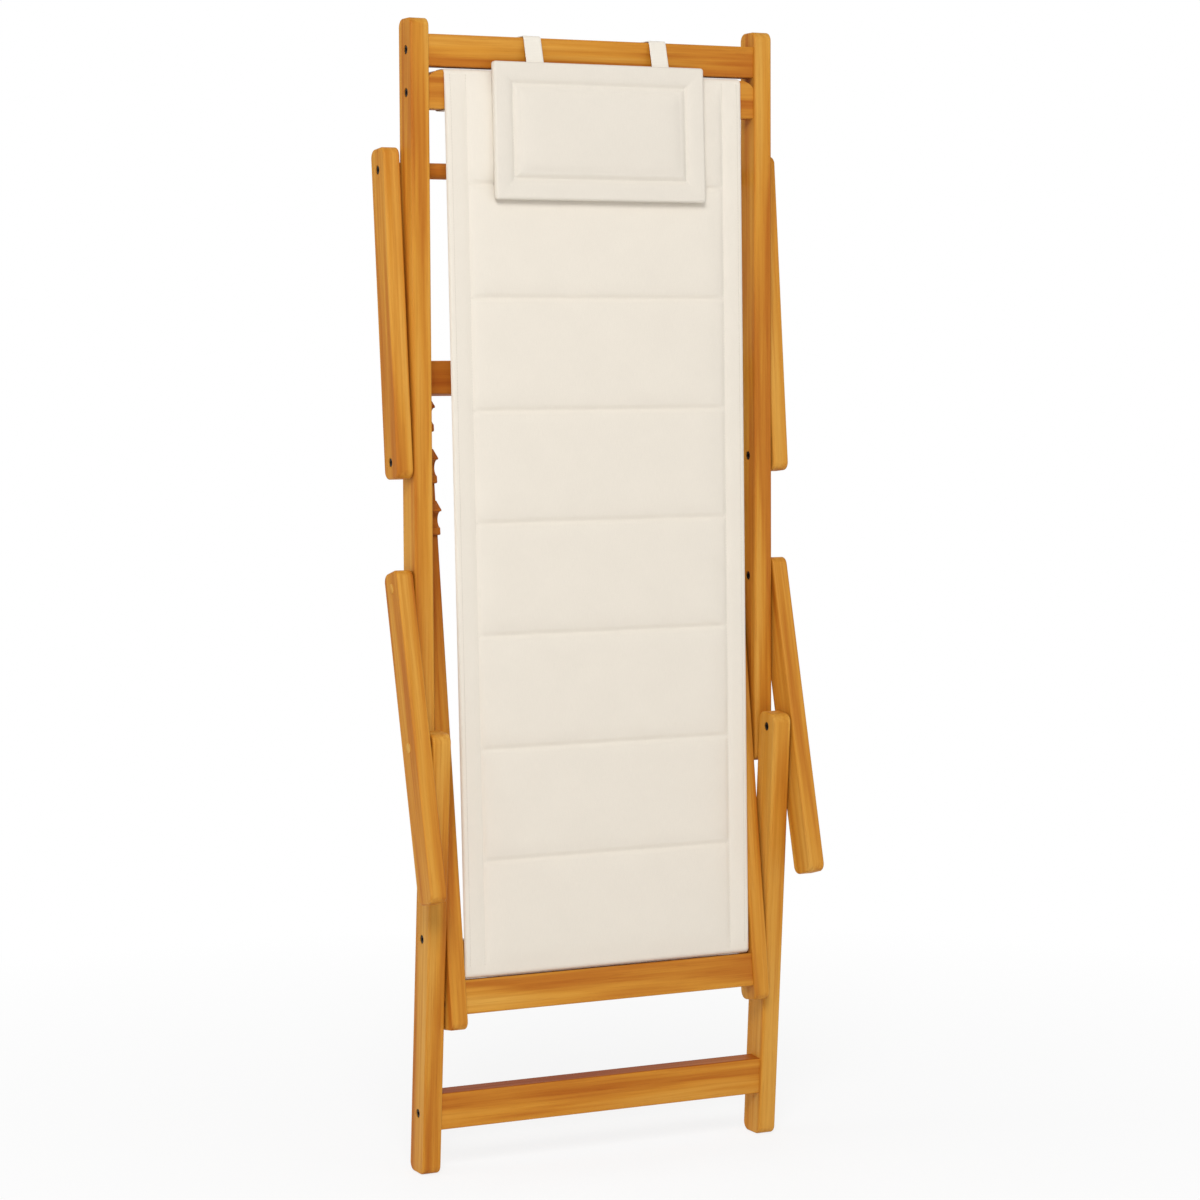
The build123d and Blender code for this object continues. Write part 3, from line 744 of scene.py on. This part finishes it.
def pad_place(x, v, out):
    over_x = abs(x) - (PAD_HALF - PAD_CORNER)
    over_v = abs(v) - (PAD_TALL / 2 - PAD_CORNER)
    if over_x > 0.0 and over_v > 0.0:
        share = max(over_x, over_v) / math.hypot(over_x, over_v)
        x = math.copysign(PAD_HALF - PAD_CORNER + over_x * share, x)
        v = math.copysign(PAD_TALL / 2 - PAD_CORNER + over_v * share, v)
    out += 0.0015 * (1.0 + v / (PAD_TALL / 2))
    return pad_origin + Vector((x, 0.0, 0.0)) + pad_down * v + pad_out * out


def pad_front(x, v):
    return pad_place(x, v, 0.0022 + pad_puff(x, v, 0.0052, 0.0088))


def pad_back(x, v):
    return pad_place(x, v, 0.0022 - pad_puff(x, v, 0.0026, 0.0020))



reach_x, reach_v = PAD_HALF - FRAME_INSET, PAD_TALL / 2 - FRAME_INSET
pad_rows = mirrored(PAD_TALL / 2, 0.005, [reach_v, PAD_TALL / 2], 0.0014, 0.0120)
pad_columns = mirrored(PAD_HALF, 0.005, [reach_x, PAD_HALF], 0.0014, 0.0120)
pillow = two_sided("quilted_pillow", pad_rows, pad_columns, pad_front, pad_back)
wear(pillow, canvas("cream_pillow_canvas", 0.0009, (0.792, 0.732, 0.640)))

ring = []
quadrants = ((-1, -1), (1, -1), (1, 1), (-1, 1), (-1, -1))
corners = [(side_x * reach_x, side_v * reach_v) for side_x, side_v in quadrants]
for (x0, v0), (x1, v1) in zip(corners, corners[1:]):
    for k in range(60):
        x, v = x0 + (x1 - x0) * k / 60, v0 + (v1 - v0) * k / 60
        ring.append((pad_front(x, v), pad_out))
pillow_thread = stitches("pillow_stitches", [ring], *STITCH)
wear(pillow_thread, thread)


# ---------------------------------------------------------------- webbing loops

head_low, head_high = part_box("head_bar")
WEB = 0.0016
webbing = canvas("cream_webbing", 0.0011, (0.845, 0.790, 0.695), 0.5, True)
strap_end = pad_place(0.0, -PAD_TALL / 2 + 0.006, 0.0026)
loop_line = [
    (strap_end.y + 0.0022, strap_end.z - 0.0005),
    (head_low.y + 0.0010, head_low.z - 0.0028),
    (head_high.y + 0.0009, head_low.z - 0.0022),
    (head_high.y + 0.0009, head_high.z + 0.0009),
    (head_low.y - 0.0009, head_high.z + 0.0009),
    (strap_end.y - 0.0004, strap_end.z),
]
loop_path = Path(rounded(loop_line, [0.003, 0.003, 0.003, 0.0028]))
LOOP_STEPS = 110
loop_rows = [loop_path.length * k / LOOP_STEPS for k in range(LOOP_STEPS + 1)]
for side, node_name in ((-1, "pillow_strap_left"), (1, "pillow_strap_right")):
    low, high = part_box(node_name)
    middle, half = (low.x + high.x) / 2, (high.x - low.x) / 2
    web_columns = [middle + half * k / 12 for k in range(-12, 13)]

    def web_rim(x, centre=middle, reach=half):
        share = min((reach - abs(x - centre)) / 0.0012, 1.0)
        return math.sqrt(max(0.0, 1.0 - (1.0 - share) ** 2))

    def web_front(x, s, centre=middle):
        rim = web_rim(x)
        ripple = 0.0002 * noise.noise(Vector((x * 90.0, s * 50.0, side)))
        point = loop_path.point(s) + loop_path.normal(s) * (0.3 * WEB + 0.7 * WEB * rim + ripple)
        return (x, point.x, point.y)

    def web_back(x, s):
        point = loop_path.point(s) + loop_path.normal(s) * (0.3 * WEB * (1.0 - web_rim(x)))
        return (x, point.x, point.y)

    strap = two_sided(node_name + "_webbing", loop_rows, web_columns, web_front, web_back)
    wear(strap, webbing)
    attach(strap, "back_frame")
    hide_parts(node_name)


# ---------------------------------------------------------------- bodies

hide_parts("sling", "sling_hem")
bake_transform(sling)
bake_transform(sling_thread)
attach(pillow, "back_frame")
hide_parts("head_pillow")
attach(pillow_thread, "back_frame")


# ---------------------------------------------------------------- floor, light and camera

floor_mesh = bpy.data.meshes.new("floor")
FLOOR_REACH = 30.0
floor_corners = [(FLOOR_REACH * x, FLOOR_REACH * y, 0.0) for x, y in quadrants[:4]]
floor_mesh.from_pydata(floor_corners, [], [(0, 1, 2, 3)])
floor = bpy.data.objects.new("floor", floor_mesh)
floor.location.z = -0.0004
bpy.context.scene.collection.objects.link(floor)
pale, tree, shader = new_material("pale_floor")
mottle = add(tree, "ShaderNodeTexNoise", Scale=3.0, Detail=3.0)
tree.links.new(ramp(tree, mottle.outputs[0], [(0.3, 0.93), (0.7, 0.95)]), shader.inputs["Base Color"])
shader.inputs["Roughness"].default_value = 0.9
shader.inputs["Specular IOR Level"].default_value = 0.0
shine = add(tree, "ShaderNodeEmission", Color=(1.0, 1.0, 1.0, 1.0), Strength=1.0)
place = tree.nodes.new("ShaderNodeTexCoord").outputs["Object"]
spot = add(tree, "ShaderNodeVectorMath", operation="LENGTH", i0=place)
away = ramp(tree, math_node(tree, "MULTIPLY", spot.outputs["Value"], 0.4), [(0.10, 0.80), (0.75, 1.0)])
look = tree.nodes.new("ShaderNodeLightPath")
share = math_node(tree, "MULTIPLY", away, look.outputs["Is Camera Ray"])
fade = tree.nodes.new("ShaderNodeMixShader")
tree.links.new(share, fade.inputs[0])
tree.links.new(shader.outputs[0], fade.inputs[1])
tree.links.new(shine.outputs[0], fade.inputs[2])
tree.links.new(fade.outputs[0], tree.nodes["Material Output"].inputs[0])
wear(floor, pale)

world = bpy.data.worlds.new("studio")
bpy.context.scene.world = world
world.use_nodes = True
tree = world.node_tree
glow = tree.nodes["Background"]
glow.inputs[0].default_value = (1.0, 1.0, 1.0, 1.0)
glow.inputs[1].default_value = 0.42
white = tree.nodes.new("ShaderNodeBackground")
white.inputs[0].default_value = (1.0, 1.0, 1.0, 1.0)
white.inputs[1].default_value = 1.0
seen = tree.nodes.new("ShaderNodeLightPath")
pick = tree.nodes.new("ShaderNodeMixShader")
tree.links.new(seen.outputs["Is Camera Ray"], pick.inputs[0])
tree.links.new(glow.outputs[0], pick.inputs[1])
tree.links.new(white.outputs[0], pick.inputs[2])
tree.links.new(pick.outputs[0], tree.nodes["World Output"].inputs[0])


def soft_light(name, place, aim, size, power):
    """Square softbox at a place, aimed at a point."""
    data = bpy.data.lights.new(name, "AREA")
    data.size = size
    data.energy = power
    obj = bpy.data.objects.new(name, data)
    obj.location = place
    obj.rotation_euler = (Vector(aim) - Vector(place)).to_track_quat("-Z", "Y").to_euler()
    bpy.context.scene.collection.objects.link(obj)


soft_light("key", (-2.0, -3.9, 3.9), (0.0, 0.0, 0.8), 1.7, 150.0)
soft_light("left", (-4.4, 1.0, 1.6), (0.0, 0.0, 0.8), 2.2, 44.0)
soft_light("fill", (2.6, -3.8, 1.5), (0.0, 0.0, 0.8), 2.6, 19.0)
soft_light("rim", (1.5, 3.2, 2.8), (0.0, 0.0, 0.9), 2.0, 14.0)

AZIMUTH, ELEVATION, ROLL = math.radians(26.097), math.radians(4.243), math.radians(-0.271)
DISTANCE = 4.59907
camera_data = bpy.data.cameras.new("camera")
camera_data.sensor_width = 36.0
camera_data.lens = 98.88
camera = bpy.data.objects.new("camera", camera_data)
bpy.context.scene.collection.objects.link(camera)
level = Vector((math.sin(AZIMUTH), math.cos(AZIMUTH), 0.0))
ahead = level * math.cos(ELEVATION) - Vector((0.0, 0.0, math.sin(ELEVATION)))
target = Vector((0.01284, BACK_Y, 0.77714))
right = Vector((math.cos(AZIMUTH), -math.sin(AZIMUTH), 0.0))
up = right.cross(ahead)
turned_right = right * math.cos(ROLL) + up * math.sin(ROLL)
turned_up = up * math.cos(ROLL) - right * math.sin(ROLL)
facing = Matrix((turned_right, turned_up, -ahead)).transposed().to_4x4()
camera.matrix_world = Matrix.Translation(target - ahead * DISTANCE) @ facing
bpy.context.scene.camera = camera
bpy.context.scene.view_settings.view_transform = "Standard"
